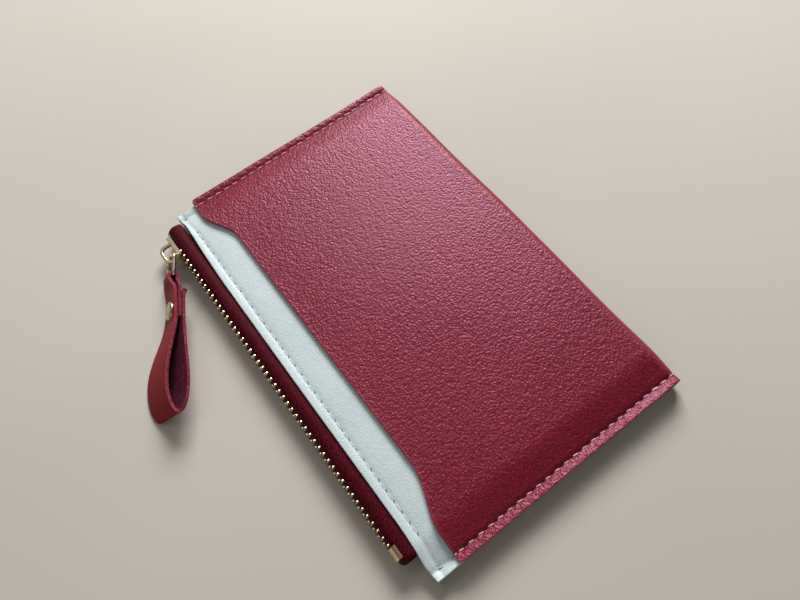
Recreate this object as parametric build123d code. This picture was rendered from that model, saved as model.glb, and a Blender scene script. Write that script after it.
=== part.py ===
from build123d import *
import math
import os

# Flat zippered pouch lying on its back. Millimetres, +Z up.
# +X runs along the zip from its closed end, +Y from the zip to the folded edge.

# ---- overall ----
HALF_W = 65.1            # half width, side edge to side edge
EDGE_Y = -40.1           # zip-side edge of the pale panels
FOLD_Y = 40.1            # outer face of the cover's fold
LOW_X = 61.2             # beyond this the sewn margins are pressed flat
FULL_X = 57.0            # inside this the pouch has its full thickness
RISE = 1.75              # how much thicker the middle is than the margins

# ---- leather sheets ----
COVER_T = 1.1
PANEL_T = 1.0
LINING_T = 0.25
PANEL_BACK_Z = 1.15
PANEL_FRONT_Z = 2.8      # underside of the front panel at the margins
COVER_FRONT_Z = 3.85     # underside of the cover's front at the margins
PANEL_END_Y = 35.0
LINING_BACK_Z = 2.2
LINING_BACK_RISE = 0.55
LINING_FRONT_Z = 2.5
LINING_FRONT_RISE = 1.2
LINING_END_Y = 34.0
LINING_EDGE_Y = -39.0

# ---- mouth of the card pocket ----
TAB_Y = -33.5
SCOOP_Y = -28.7
SCOOP_LEFT = (-57.8, -45.0)
SCOOP_RIGHT = (39.5, 57.8)

# ---- zip ----
MID_Z = 3.35             # height of the closing line
TAPE_T = 0.5
TAPE_START = -61.3
TAPE_END = 57.2
TAPE_HIDDEN = (-56.4, 54.5)
TAPE_INNER_Y = -33.0
TAPE_FLAT_Z = 4.25
TAPE_ROLL = [            # centre line of the part that shows, as (y, z), down to the teeth
    (-40.0, 4.25), (-40.34, 4.37), (-40.58, 4.72), (-40.84, 5.14), (-41.22, 5.54), (-41.8, 5.86),
    (-42.5, 6.02), (-43.12, 6.02), (-43.6, 5.9), (-43.97, 5.62), (-44.25, 5.2), (-44.5, 4.7),
    (-44.7, 4.2), (-44.8, 3.78),
]
PITCH = 2.12
TOOTH_COUNT = 50
TOOTH_X0 = -52.4
LEG_W = 0.6
HEAD_W = 0.8
HEAD_Y = (-45.5, -44.0)
HEAD_Z = (3.02, 3.72)
TOOTH_RIM = [            # side view of a front tooth, before the tape is taken out of it
    (-45.4, 3.02), (-44.2, 3.02), (-43.95, 3.25), (-43.88, 3.7), (-43.87, 4.9), (-43.98, 5.12),
    (-44.36, 5.56), (-44.54, 5.66), (-44.8, 5.58), (-45.02, 5.22), (-45.24, 4.7), (-45.42, 4.2), (-45.57, 3.6),
    (-45.57, 3.3),
]
STOP_X = (52.3, 55.7)
STOP_RIM = [             # front half of the bottom stop from its inner face to the closing line
    (-43.4, 3.35), (-43.4, 6.52), (-43.55, 6.6), (-43.95, 6.48), (-44.46, 6.08), (-44.83, 5.53), (-45.11, 4.97),
    (-45.34, 4.41), (-45.46, 3.8), (-45.5, 3.35),
]
TOP_STOP_X = (-60.0, -58.8)
TOP_STOP_Y = (-45.1, -44.0)
TOP_STOP_Z = (4.2, 5.2)

# ---- slider ----
SL_X = (-58.5, -51.0)
SL_HALF_WIDE = 3.1
SL_HALF_NARROW = 2.95
SL_OUTER_Y = (-46.15, -44.85)
SL_FLOOR_Y = -45.62
SL_INNER_Y = (-43.78, -43.3)
SL_INNER_HALF = 2.0
SL_CHANNEL_HALF = 2.38
NECK_X = (-58.2, -56.2)
NECK_HALF = 0.75
BRIDGE_X = (-58.4, -51.6)
BRIDGE_OUT_Y = -50.25
BRIDGE_WIRE = 0.9
BRIDGE_HALF_Z = 0.6

# ---- ring and strap ----
LEAN = math.radians(36.0)
HEADING = math.radians(-28.5)
RING_PIVOT = Vector(-53.95, -48.0, MID_Z)
RING_LENGTH = 7.4
RING_WIDTH = 6.4
RING_CORNER = 1.6
RING_WIRE = 1.0
STRAP_T = 0.8
STRAP_Z = (0.25, 7.3)
RIVET_A = 11.0
RIVET_S = 0.4
RIVET_CAP_D = 5.6
RIVET_BACK_D = 4.4
RIVET_POST_D = 2.0

# ---- stitches ----
SEAM_X = 62.7
SEAM_Y = (-37.5, 37.5)
SEAM_PITCH = 3.0
ZIP_SEAM_Y = -37.5
ZIP_SEAM_X = (-55.0, 53.5)
ZIP_SEAM_PITCH = 3.2
STITCH_L = 2.3
STITCH_W = 0.5
STITCH_H = 0.3

RUN = Vector(math.cos(HEADING), math.sin(HEADING), 0)
SIDE = Vector(-math.sin(HEADING), math.cos(HEADING), 0)
ACROSS = SIDE * math.sin(LEAN) + Vector(0, 0, 1) * math.cos(LEAN)
RING_FAR = RING_PIVOT + RUN * RING_LENGTH


def section(x, points):
    """A closed face in the plane at x, from (y, z) corners."""
    wire = Polyline(*[(x, y, z) for y, z in points], close=True)
    return make_face(wire)


def ruled(profile):
    """A sheet with pressed margins, from a profile that takes the rise."""
    stations = [(-HALF_W, 0), (-LOW_X, 0), (-FULL_X, 1), (FULL_X, 1), (LOW_X, 0), (HALF_W, 0)]
    return loft([section(x, profile(rise)) for x, rise in stations], ruled=True)


def slab(x0, x1, y0, y1, z0, z1):
    centre = Pos((x0 + x1) / 2, (y0 + y1) / 2, (z0 + z1) / 2)
    return centre * Box(x1 - x0, y1 - y0, z1 - z0)


def arc_points(cy, cz, ry, rz, steps):
    """Half an ellipse from low to high round the +Y side."""
    angles = [-math.pi / 2 + math.pi * i / steps for i in range(steps + 1)]
    return [(cy + ry * math.cos(a), cz + rz * math.sin(a)) for a in angles]


def s_curve(x0, y0, x1, y1, steps=12):
    """A soft step between two heights, level at both ends."""
    points = []
    for i in range(steps + 1):
        t = i / steps
        points.append((x0 + (x1 - x0) * t, y0 + (y1 - y0) * (0.5 - 0.5 * math.cos(math.pi * t))))
    return points


def outer_cover():
    def profile(rise):
        top = COVER_FRONT_Z + COVER_T + RISE * rise
        mid = top / 2
        outer = arc_points(FOLD_Y - mid, mid, mid, mid, 10)
        inner = arc_points(FOLD_Y - mid, mid, mid - COVER_T, mid - COVER_T, 10)
        back = [(TAB_Y, COVER_T), (TAB_Y, 0)]
        front = [(TAB_Y, top), (TAB_Y, top - COVER_T)]
        return back + outer + front + inner[::-1]

    left = s_curve(SCOOP_LEFT[0], TAB_Y, SCOOP_LEFT[1], SCOOP_Y)
    right = s_curve(SCOOP_RIGHT[0], SCOOP_Y, SCOOP_RIGHT[1], TAB_Y)
    low = TAB_Y - 5
    rim = left + right + [(SCOOP_RIGHT[1], low), (SCOOP_LEFT[0], low)]
    scoop = extrude(make_face(Polyline(*[(x, y, -1) for x, y in rim], close=True)), 12, dir=(0, 0, 1))
    return ruled(profile) - scoop


def flat_panel(z0, rise_by, y0, y1, thick):
    return ruled(lambda r: [
        (y0, z0 + rise_by * r),
        (y1, z0 + rise_by * r),
        (y1, z0 + thick + rise_by * r),
        (y0, z0 + thick + rise_by * r),
    ])


def pouch_lining():
    def profile(r):
        low = LINING_BACK_Z + LINING_BACK_RISE * r
        high = LINING_FRONT_Z + LINING_T + LINING_FRONT_RISE * r
        y0, y1, t = LINING_EDGE_Y, LINING_END_Y, LINING_T
        return [
            (y0, low), (y1, low), (y1, high), (y0, high),
            (y0, high - t), (y1 - t, high - t), (y1 - t, low + t), (y0, low + t),
        ]
    return ruled(profile)


def tape_line():
    """Centre line of the front tape in (y, z), from its sewn edge to the teeth."""
    return [(TAPE_INNER_Y, TAPE_FLAT_Z), (-36.5, TAPE_FLAT_Z), (-39.0, TAPE_FLAT_Z)] + TAPE_ROLL


def ribbon(points, thick):
    """Corners of a strip of even thickness along a centre line."""
    one, two = [], []
    for i, (a, b) in enumerate(points):
        before = points[max(i - 1, 0)]
        after = points[min(i + 1, len(points) - 1)]
        da, db = after[0] - before[0], after[1] - before[1]
        size = math.hypot(da, db)
        na, nb = -db / size * thick / 2, da / size * thick / 2
        one.append((a + na, b + nb))
        two.append((a - na, b - nb))
    return one + two[::-1]


def tape_strip(x0, x1):
    """The front tape between two stations."""
    return extrude(section(x0, ribbon(tape_line(), TAPE_T)), x1 - x0, dir=(1, 0, 0))


def both_ways(body, front):
    """The front half's shape, or its mirror image for the rear half."""
    return body if front else mirror(body, Plane.XY.offset(MID_Z))


def zipper_tape(front):
    body = tape_strip(TAPE_START, TAPE_END)
    for x0, x1 in ((TAPE_START - 1, TAPE_HIDDEN[0]), (TAPE_HIDDEN[1], TAPE_END + 1)):
        body -= slab(x0, x1, EDGE_Y, TAPE_INNER_Y + 1, -1, 8)
    body -= slab(TAPE_START - 1, NECK_X[1] + 0.6, -46, -43.5, MID_Z - 1.1, MID_Z + 1.1)
    return both_ways(body, front)


def tooth(front):
    """One tooth: a head past the closing line and two legs clenched on the tape edge."""
    legs = extrude(section(-LEG_W / 2, TOOTH_RIM), LEG_W, dir=(1, 0, 0))
    legs -= tape_strip(-LEG_W, LEG_W)
    head = slab(-HEAD_W / 2, HEAD_W / 2, *HEAD_Y, *HEAD_Z)
    head = fillet(head.edges().filter_by(Axis.X), 0.2)
    return both_ways(legs + head, front)


def teeth_row(front):
    shape = tooth(front)
    shift = 0 if front else -PITCH / 2
    return [Pos(TOOTH_X0 + shift + i * PITCH, 0, 0) * shape for i in range(TOOTH_COUNT)]


def bottom_stop():
    """Metal staple wrapped round both tape edges."""
    x0, x1 = STOP_X
    low = [(y, 2 * MID_Z - z) for y, z in STOP_RIM[1:-1]]
    body = extrude(section(x0, STOP_RIM + low[::-1]), x1 - x0, dir=(1, 0, 0))
    tape = tape_strip(x0 - 1, x1 + 1)
    return body - tape - mirror(tape, Plane.XY.offset(MID_Z))


def top_stop(front):
    """Small clip on one tape just past the closed slider."""
    x0, x1 = TOP_STOP_X
    body = slab(x0, x1, *TOP_STOP_Y, *TOP_STOP_Z)
    body = fillet(body.edges().filter_by(Axis.X), 0.2)
    held = tape_strip(x0 - 1, x1 + 1) & slab(x0 - 1, x1 + 1, -46, -43, MID_Z + 1.1, 7)
    return both_ways(body - held, front)


def plate(half_wide, half_narrow, y0, y1):
    """A slider plate that tapers towards the closed side of the zip."""
    x0, x1 = SL_X
    rim = [(x0, -half_wide), (x1, -half_narrow), (x1, half_narrow), (x0, half_wide)]
    face = make_face(Polyline(*[(x, y0, MID_Z + z) for x, z in rim], close=True))
    body = extrude(face, y1 - y0, dir=(0, 1, 0))
    return fillet(body.edges().filter_by(Axis.Y), 0.5)


def slider_body():
    """Outer shell whose flanges hold the teeth, a neck between the tapes, and a small plate inside."""
    x0, x1 = SL_X
    y0, y1 = SL_OUTER_Y
    shell = plate(SL_HALF_WIDE, SL_HALF_NARROW, y0, y1)
    shell -= slab(x0 - 1, x1 + 1, SL_FLOOR_Y, y1 + 1, MID_Z - SL_CHANNEL_HALF, MID_Z + SL_CHANNEL_HALF)
    rim = [e for e in shell.edges() if abs(e.center().Y - y0) < 1e-3]
    shell = fillet(rim, 0.25)
    inner = plate(SL_INNER_HALF, SL_INNER_HALF, *SL_INNER_Y)
    neck = slab(NECK_X[0], NECK_X[1], y0 + 0.2, SL_INNER_Y[1] - 0.2, MID_Z - NECK_HALF, MID_Z + NECK_HALF)
    return shell + inner + neck


def slider_bridge():
    """Flat bail on the outer plate that carries the ring."""
    x0, x1 = BRIDGE_X
    root_y = SL_OUTER_Y[0]
    far = root_y - BRIDGE_OUT_Y
    centre = Pos((x0 + x1) / 2, root_y, MID_Z)
    outer = centre * extrude(RectangleRounded(x1 - x0, 2 * far, 2.3), BRIDGE_HALF_Z, both=True)
    hole_w, hole_l = x1 - x0 - 2 * BRIDGE_WIRE, 2 * (far - BRIDGE_WIRE)
    hole = centre * extrude(RectangleRounded(hole_w, hole_l, 1.4), 3, both=True)
    body = outer - hole - slab(x0 - 1, x1 + 1, root_y, root_y + 10, -5, 12)
    rim = body.edges().filter_by(lambda e: abs(abs(e.center().Z - MID_Z) - BRIDGE_HALF_Z) < 1e-3)
    rim = [e for e in rim if e.center().Y < root_y - 0.05]
    return fillet(rim, 0.2)


def pull_ring():
    frame = Plane(origin=RING_PIVOT + RUN * (RING_LENGTH / 2), x_dir=RUN, z_dir=ACROSS.cross(RUN))
    outline = RectangleRounded(RING_LENGTH, RING_WIDTH, RING_CORNER).wires()[0]
    path = frame * outline
    start = path @ 0.0
    face = Plane(origin=start, z_dir=path % 0.0) * Circle(RING_WIRE / 2)
    return sweep(face, path=path, transition=Transition.ROUND)


def strap_line():
    """Centre line of the folded strip in the plane square to its width.

    It starts at the tucked-back end, turns round the ring, runs down the outer
    leg, round the tip, and ends at the free end beside the ring.
    """
    inner_end = [(14.6, 1.02), (12.8, 1.0), (11.0, 0.99), (9.0, 0.95), (7.0, 0.92), (5.0, 0.94), (3.0, 1.03), (1.5, 1.1)]
    turn = []
    for i in range(9):
        a = math.pi / 2 + math.pi * i / 8
        turn.append((1.12 * math.cos(a), 1.12 * math.sin(a)))
    outer_leg = [
        (1.5, -1.0), (3.0, -0.62), (5.0, -0.14), (7.0, 0.04), (9.0, 0.1), (11.0, 0.12), (13.0, 0.12),
        (15.0, 0.08), (18.0, -0.2), (21.0, -0.68), (24.0, -1.2), (27.0, -1.62), (30.0, -1.9),
        (33.0, -2.0), (36.0, -1.82), (38.5, -1.36), (40.4, -0.78), (41.8, -0.1),
    ]
    inner_leg = [
        (42.3, 0.5), (42.2, 1.1), (41.5, 1.65), (40.0, 2.15), (38.0, 2.52), (35.0, 2.72), (32.0, 2.72),
        (29.0, 2.58), (26.0, 2.38), (23.0, 2.18), (20.0, 2.02), (17.0, 1.92), (14.6, 1.88), (12.8, 1.87),
        (11.0, 1.87), (9.7, 1.86), (8.5, 1.88), (7.4, 2.0), (6.3, 2.3),
    ]
    return inner_end + turn + outer_leg + inner_leg


def strap_plane(a=0.0, s=0.0):
    """Plane square to the strap's width; local x along the strap, local y to the pouch."""
    return Plane(origin=RING_FAR + RUN * a + ACROSS * s, x_dir=RUN, z_dir=ACROSS)


def pull_strap():
    rim = ribbon(strap_line(), STRAP_T)
    face = make_face(Polyline(*rim, close=True))
    body = extrude(strap_plane() * face, 12, both=True)
    body &= slab(-80, 10, -100, -30, STRAP_Z[0], STRAP_Z[1])
    neck = 2.4
    for sign in (-1, 1):
        corner = [(-3, sign * neck), (0.9, sign * neck), (5.5, sign * 6.2), (5.5, sign * 12), (-3, sign * 12)]
        flat = Plane(origin=RING_FAR, x_dir=RUN, z_dir=ACROSS.cross(RUN))
        local = [(a, -s) if flat.y_dir.dot(ACROSS) < 0 else (a, s) for a, s in corner]
        body -= extrude(flat * make_face(Polyline(*local, close=True)), 8, both=True)
    return body - rivet_shaft(RIVET_POST_D + 0.06, -2, 4)


def rivet_shaft(diameter, y0, y1):
    """A cylinder through the strap's layers from local y0 to y1."""
    axis = SIDE * math.cos(LEAN) - Vector(0, 0, 1) * math.sin(LEAN)
    start = RING_FAR + RUN * RIVET_A + ACROSS * RIVET_S + axis * y0
    return extrude(Plane(origin=start, z_dir=axis) * Circle(diameter / 2), y1 - y0)


def rivet_cap():
    face_y = 0.12 - STRAP_T / 2 - 0.03
    cap = rivet_shaft(RIVET_CAP_D, face_y - 0.75, face_y)
    rim = cap.edges().filter_by(GeomType.CIRCLE)
    axis = SIDE * math.cos(LEAN) - Vector(0, 0, 1) * math.sin(LEAN)
    rim = rim.sort_by(lambda e: e.center().dot(axis))[:1]
    cap = fillet(rim, 0.6)
    return cap + rivet_shaft(RIVET_POST_D, face_y - 0.1, 2.62)


def rivet_back():
    face_y = 1.87 + STRAP_T / 2 + 0.03
    disc = rivet_shaft(RIVET_BACK_D, face_y, face_y + 0.6)
    return disc - rivet_shaft(RIVET_POST_D, face_y - 1, 2.62)


def side_seam(sign):
    """Every stitch of one side seam, front and back."""
    stitches = []
    count = int((SEAM_Y[1] - SEAM_Y[0]) / SEAM_PITCH) + 1
    for i in range(count):
        y = SEAM_Y[0] + i * SEAM_PITCH
        on_cover = y > TAB_Y + 1
        top = COVER_FRONT_Z + COVER_T if on_cover else PANEL_FRONT_Z + PANEL_T
        back = 0.0 if on_cover else PANEL_BACK_Z
        if abs(y - TAB_Y) < STITCH_L / 2 + 0.2:
            continue
        stitches.append(Pos(sign * SEAM_X, y, top + STITCH_H / 2) * Box(STITCH_W, STITCH_L, STITCH_H))
        if not on_cover:
            stitches.append(Pos(sign * SEAM_X, y, back - STITCH_H / 2) * Box(STITCH_W, STITCH_L, STITCH_H))
    return stitches


def zip_seam(front):
    """The row of stitches that holds one tape to its pale panel."""
    z = PANEL_FRONT_Z + PANEL_T + RISE + STITCH_H / 2 if front else PANEL_BACK_Z - STITCH_H / 2
    count = int((ZIP_SEAM_X[1] - ZIP_SEAM_X[0]) / ZIP_SEAM_PITCH) + 1
    return [Pos(ZIP_SEAM_X[0] + i * ZIP_SEAM_PITCH, ZIP_SEAM_Y, z) * Box(STITCH_L, STITCH_W, STITCH_H)
            for i in range(count)]


def save(name, shape):
    """Write one node, as a group of solids where it has many."""
    if isinstance(shape, list):
        shape = Compound(children=shape)
    shape.label = name
    export_step(shape, f"parts/{name}.step")


def main():
    os.makedirs("parts", exist_ok=True)
    save("outer_cover", outer_cover())
    save("pouch_front_panel", flat_panel(PANEL_FRONT_Z, RISE, EDGE_Y, PANEL_END_Y, PANEL_T))
    save("pouch_back_panel", flat_panel(PANEL_BACK_Z, 0, EDGE_Y, PANEL_END_Y, PANEL_T))
    save("pouch_lining", pouch_lining())
    save("zipper_tape_front", zipper_tape(True))
    save("zipper_tape_rear", zipper_tape(False))
    save("zipper_teeth_front", teeth_row(True))
    save("zipper_teeth_rear", teeth_row(False))
    save("bottom_stop", bottom_stop())
    save("top_stop_front", top_stop(True))
    save("top_stop_rear", top_stop(False))
    save("slider_body", slider_body())
    save("slider_bridge", slider_bridge())
    save("pull_ring", pull_ring())
    save("pull_strap", pull_strap())
    save("rivet_cap", rivet_cap())
    save("rivet_back", rivet_back())
    save("side_seam_thread_left", side_seam(-1))
    save("side_seam_thread_right", side_seam(1))
    save("zip_seam_thread_front", zip_seam(True))
    save("zip_seam_thread_rear", zip_seam(False))


main()
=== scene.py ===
import math

import bmesh
import bpy
import numpy as np
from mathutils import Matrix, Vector


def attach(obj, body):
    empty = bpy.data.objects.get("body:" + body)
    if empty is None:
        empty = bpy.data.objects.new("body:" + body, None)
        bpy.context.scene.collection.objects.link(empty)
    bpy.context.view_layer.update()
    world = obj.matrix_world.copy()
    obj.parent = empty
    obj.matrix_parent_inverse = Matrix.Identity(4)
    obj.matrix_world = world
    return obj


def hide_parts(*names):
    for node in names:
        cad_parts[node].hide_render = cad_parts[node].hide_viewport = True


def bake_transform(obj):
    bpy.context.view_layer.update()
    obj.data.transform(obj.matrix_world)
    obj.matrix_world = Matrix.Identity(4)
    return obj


# The looks of the zippered pouch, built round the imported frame.
# Lengths in the tables below are millimetres and become metres in put(); +X runs along the zip.

MM = 0.001
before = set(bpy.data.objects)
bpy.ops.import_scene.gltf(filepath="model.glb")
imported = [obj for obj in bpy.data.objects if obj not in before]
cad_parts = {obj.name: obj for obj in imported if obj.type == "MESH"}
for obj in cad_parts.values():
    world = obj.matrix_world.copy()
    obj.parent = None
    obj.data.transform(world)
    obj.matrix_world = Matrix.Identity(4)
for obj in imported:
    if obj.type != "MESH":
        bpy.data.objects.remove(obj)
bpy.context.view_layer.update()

# ---- the pouch's own dimensions, as in the CAD ----
HALF_W = 65.1
COVER_T = 1.1
PANEL_T = 1.0
TAB_Y = -33.5
SCOOP_Y = -28.7
SCOOP_LEFT = (-57.8, -45.0)
SCOOP_RIGHT = (39.5, 57.8)
FOLD_Y = 40.1
MARGIN_Z = 4.95          # top of the cover along the sewn margins
FULL_Z = 6.72            # and inside them
CROWN = 0.55             # further rise at the middle of the front
PANEL_BACK_Z = 1.15
LINING_T = 0.25
SHEET_GAP = 0.07         # air between one sheet and the next
MID_Z = 3.35             # height of the zip's closing line
TAPE_T = 0.5
TAPE_X = (-61.3, 57.2)
PITCH = 2.12             # from one tooth to the next in a row
TOOTH_COUNT = 50
TOOTH_X0 = -52.4
SEAM_IN = 2.4            # side stitches, in from the side edge
SEAM_X = HALF_W - SEAM_IN
SEAM_Y0 = -36.0
SIDE_PITCH = 3.05
ZIP_SEAM_Y = -37.5
ZIP_PITCH = 3.2
ZIP_SEAM_X0 = -55.0
ZIP_STITCHES = 34
ZIP_HOLES_X = (-56.75, 55.25)
HEM_X = (-56.4, 54.5)
TAB_SEAM_Y = -38.1       # needle holes of the side seam in the pale tabs
TAB_SEAM_PITCH = 4.3
ROUND = 0.28             # corner radius of the cut leather edges
EDGE_STEPS = [0, 0.07, 0.18, 0.35]      # first stations in from a cut edge
STRAP_W = 8.8
STRAP_T = 0.92
STRAP_NECK_W = 4.8       # where it passes through the ring
STRAP_TOP_Z = 7.3
STRAP_LOW_Z = 0.28


# =====================================================================
# mesh helpers
# =====================================================================

def put(name, verts, faces, slots=None):
    """A smooth-shaded mesh object from points in millimetres."""
    me = bpy.data.meshes.new(name)
    me.from_pydata((np.asarray(verts, float) * MM).tolist(), [], faces)
    ob = bpy.data.objects.new(name, me)
    bpy.context.scene.collection.objects.link(ob)
    if slots is not None:
        me.polygons.foreach_set("material_index", np.asarray(slots, np.int32))
    me.polygons.foreach_set("use_smooth", np.ones(len(me.polygons), bool))
    me.update()
    return ob


def attribute(ob, name, values):
    """One number per vertex, for the materials."""
    a = ob.data.attributes.new(name, "FLOAT", "POINT")
    a.data.foreach_set("value", np.asarray(values, np.float32).ravel())


def vector_attribute(ob, name, values):
    """Three numbers per vertex, for the materials."""
    a = ob.data.attributes.new(name, "FLOAT_VECTOR", "POINT")
    a.data.foreach_set("vector", np.asarray(values, np.float32).ravel())


def quads(nu, nv, flip=False, start=0):
    """Faces of a grid of nu by nv points stored row by row."""
    i, j = np.meshgrid(np.arange(nu - 1), np.arange(nv - 1), indexing="ij")
    a = (i * nv + j + start).ravel()
    f = np.stack([a, a + nv, a + nv + 1, a + 1], 1)
    return (f[:, ::-1] if flip else f).tolist()


def sheet(name, top, under, mats=(0, 1, 2)):
    """A sheet with thickness between two grids; material slots are face, cut edge and back."""
    nu, nv = top.shape[:2]
    n = nu * nv
    verts = np.concatenate([top.reshape(-1, 3), under.reshape(-1, 3)])
    faces = quads(nu, nv) + quads(nu, nv, True, n)
    slots = [mats[0]] * (len(faces) // 2) + [mats[2]] * (len(faces) // 2)
    ring = [i * nv for i in range(nu)] + [(nu - 1) * nv + j for j in range(1, nv)]
    ring += [i * nv + nv - 1 for i in range(nu - 2, -1, -1)] + [j for j in range(nv - 2, 0, -1)]
    for a, b in zip(ring, ring[1:] + ring[:1]):
        faces.append([b, a, a + n, b + n])
        slots.append(mats[1])
    return put(name, verts, faces, slots)


def tube(path, radii, sides=8, twist=0.0, lobes=0.0, squash=1.0):
    """Points and faces of a closed tube along a path, with an optional two-ply twist."""
    path = np.asarray(path, float)
    count = len(path)
    tangents = np.gradient(path, axis=0)
    tangents /= np.linalg.norm(tangents, axis=1)[:, None]
    up = np.array([0.0, 0.0, 1.0])
    verts, faces = [], []
    for k in range(count):
        side = np.cross(tangents[k], up)
        size = np.linalg.norm(side)
        side = side / size if size > 1e-6 else np.array([1.0, 0.0, 0.0])
        rise = np.cross(side, tangents[k])
        for m in range(sides):
            a = 2 * math.pi * m / sides
            r = radii[k] * (1 + lobes * math.cos(2 * (a - twist * k)))
            verts.append(path[k] + side * r * math.cos(a) + rise * r * squash * math.sin(a))
    for k in range(count - 1):
        for m in range(sides):
            a, b = k * sides + m, k * sides + (m + 1) % sides
            faces.append([a, a + sides, b + sides, b])
    faces.append(list(range(sides)))
    faces.append([(count - 1) * sides + m for m in reversed(range(sides))])
    return verts, faces


def gather(parts):
    """One list of points and faces from several."""
    verts, faces = [], []
    for v, f in parts:
        base = len(verts)
        verts.extend(v)
        faces.extend([[i + base for i in q] for q in f])
    return verts, faces


def smoothstep(t):
    t = np.clip(t, 0.0, 1.0)
    return t * t * (3 - 2 * t)


def graded(lo, hi, near, step):
    """Stations from lo to hi, finer at both ends by the offsets in near."""
    near = np.asarray(near, float)
    spans = int(round((hi - lo - 2 * near[-1]) / step))
    inner = np.linspace(lo + near[-1], hi - near[-1], max(2, spans + 1))
    return np.concatenate([lo + near[:-1], inner, hi - near[:-1][::-1]])


# =====================================================================
# materials
# =====================================================================

class Nodes:
    """A short way to write a node material."""

    def __init__(self, name):
        self.mat = bpy.data.materials.new(name)
        self.mat.use_nodes = True
        self.tree = self.mat.node_tree
        self.shader = self.tree.nodes["Principled BSDF"]

    def add(self, kind, **values):
        node = self.tree.nodes.new(kind)
        for key, value in values.items():
            if hasattr(node, key):
                setattr(node, key, value)
            else:
                node.inputs[key.replace("_", " ")].default_value = value
        return node

    def link(self, a, b):
        self.tree.links.new(a, b)

    def coords(self):
        return self.add("ShaderNodeTexCoord").outputs["Object"]

    def noise(self, scale, detail=3.0, roughness=0.55, distortion=0.0, vector=None):
        node = self.add("ShaderNodeTexNoise", Scale=scale, Detail=detail, Roughness=roughness,
                        Distortion=distortion)
        self.link(vector or self.coords(), node.inputs["Vector"])
        return node.outputs["Fac"]

    def cells(self, scale, feature="DISTANCE_TO_EDGE", vector=None):
        node = self.add("ShaderNodeTexVoronoi", feature=feature, Scale=scale, Randomness=1.0)
        self.link(vector or self.coords(), node.inputs["Vector"])
        return node.outputs["Distance"]

    def attr(self, name, output="Fac"):
        return self.add("ShaderNodeAttribute", attribute_name=name).outputs[output]

    def math(self, op, a, b=0.0, c=0.0, clamp=False):
        node = self.add("ShaderNodeMath", operation=op, use_clamp=clamp)
        for i, value in enumerate((a, b, c)):
            if isinstance(value, (int, float)):
                node.inputs[i].default_value = value
            else:
                self.link(value, node.inputs[i])
        return node.outputs[0]

    def ramp(self, value, stops):
        """A colour ramp; stops are (place, colour)."""
        node = self.add("ShaderNodeValToRGB")
        elements = node.color_ramp.elements
        while len(elements) < len(stops):
            elements.new(0.5)
        for element, (place, colour) in zip(elements, stops):
            element.position = place
            element.color = (*colour, 1.0)
        self.link(value, node.inputs["Fac"])
        return node.outputs["Color"]

    def greys(self, value, *stops):
        """A grey ramp; stops are (place, grey)."""
        return self.ramp(value, [(place, (grey, grey, grey)) for place, grey in stops])

    def mix(self, fac, a, b):
        node = self.add("ShaderNodeMix", data_type="RGBA", blend_type="MIX")
        for socket, value in ((node.inputs[0], fac), (node.inputs[6], a), (node.inputs[7], b)):
            if isinstance(value, (int, float)):
                socket.default_value = value
            elif isinstance(value, tuple):
                socket.default_value = (*value, 1.0)
            else:
                self.link(value, socket)
        return node.outputs[2]

    def bump(self, height, distance, strength=1.0, after=None):
        node = self.add("ShaderNodeBump", Strength=strength, Distance=distance)
        self.link(height, node.inputs["Height"])
        if after is not None:
            self.link(after, node.inputs["Normal"])
        return node.outputs["Normal"]

    def set(self, name, value):
        socket = self.shader.inputs[name]
        if isinstance(value, (int, float)):
            socket.default_value = value
        elif isinstance(value, tuple):
            socket.default_value = (*value, 1.0)
        else:
            self.link(value, socket)


def needle_hole_shade(n, axis, across_at, start, pitch, long, wide, slant=0.0):
    """A mask of painted shade in slanted slots every pitch along a seam, where the needle holes lie; lengths
    in millimetres.
    """
    split = n.add("ShaderNodeSeparateXYZ")
    n.link(n.coords(), split.inputs[0])
    along, across = split.outputs[0], split.outputs[1]
    if axis == "y":
        along, across = across, n.math("ABSOLUTE", along)
    off = n.math("SUBTRACT", across, across_at * MM)
    step = n.math("DIVIDE", n.math("SUBTRACT", along, start * MM), pitch * MM)
    near = n.math("MULTIPLY", n.math("SUBTRACT", step, n.math("ROUND", step)), pitch)
    jitter = n.noise(900.0, 2.0, 0.5)
    off = n.math("MULTIPLY_ADD", off, 1.0 / MM, n.math("MULTIPLY_ADD", jitter, 0.12, -0.06))
    off = n.math("ADD", off, n.math("MULTIPLY", near, slant))
    u = n.math("POWER", n.math("DIVIDE", near, long), 2.0)
    v = n.math("POWER", n.math("DIVIDE", off, wide), 2.0)
    return n.math("SUBTRACT", 1.5, n.math("ADD", u, v), clamp=True)


def stretched(n, x=1.0, y=1.0, z=1.0):
    """Object coordinates scaled unevenly, for grain that runs one way."""
    node = n.add("ShaderNodeMapping")
    node.inputs["Scale"].default_value = (x, y, z)
    n.link(n.coords(), node.inputs["Vector"])
    return node.outputs["Vector"]


def wobbled(n, amount, scale):
    """Object coordinates pushed about by noise, so that cells lose their straight sides."""
    noise = n.add("ShaderNodeTexNoise", Scale=scale, Detail=2.0)
    n.link(n.coords(), noise.inputs["Vector"])
    shift = n.add("ShaderNodeVectorMath", operation="MULTIPLY_ADD")
    n.link(noise.outputs["Color"], shift.inputs[0])
    shift.inputs[1].default_value = (amount, amount, amount)
    n.link(n.coords(), shift.inputs[2])
    return shift.outputs[0]


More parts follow.
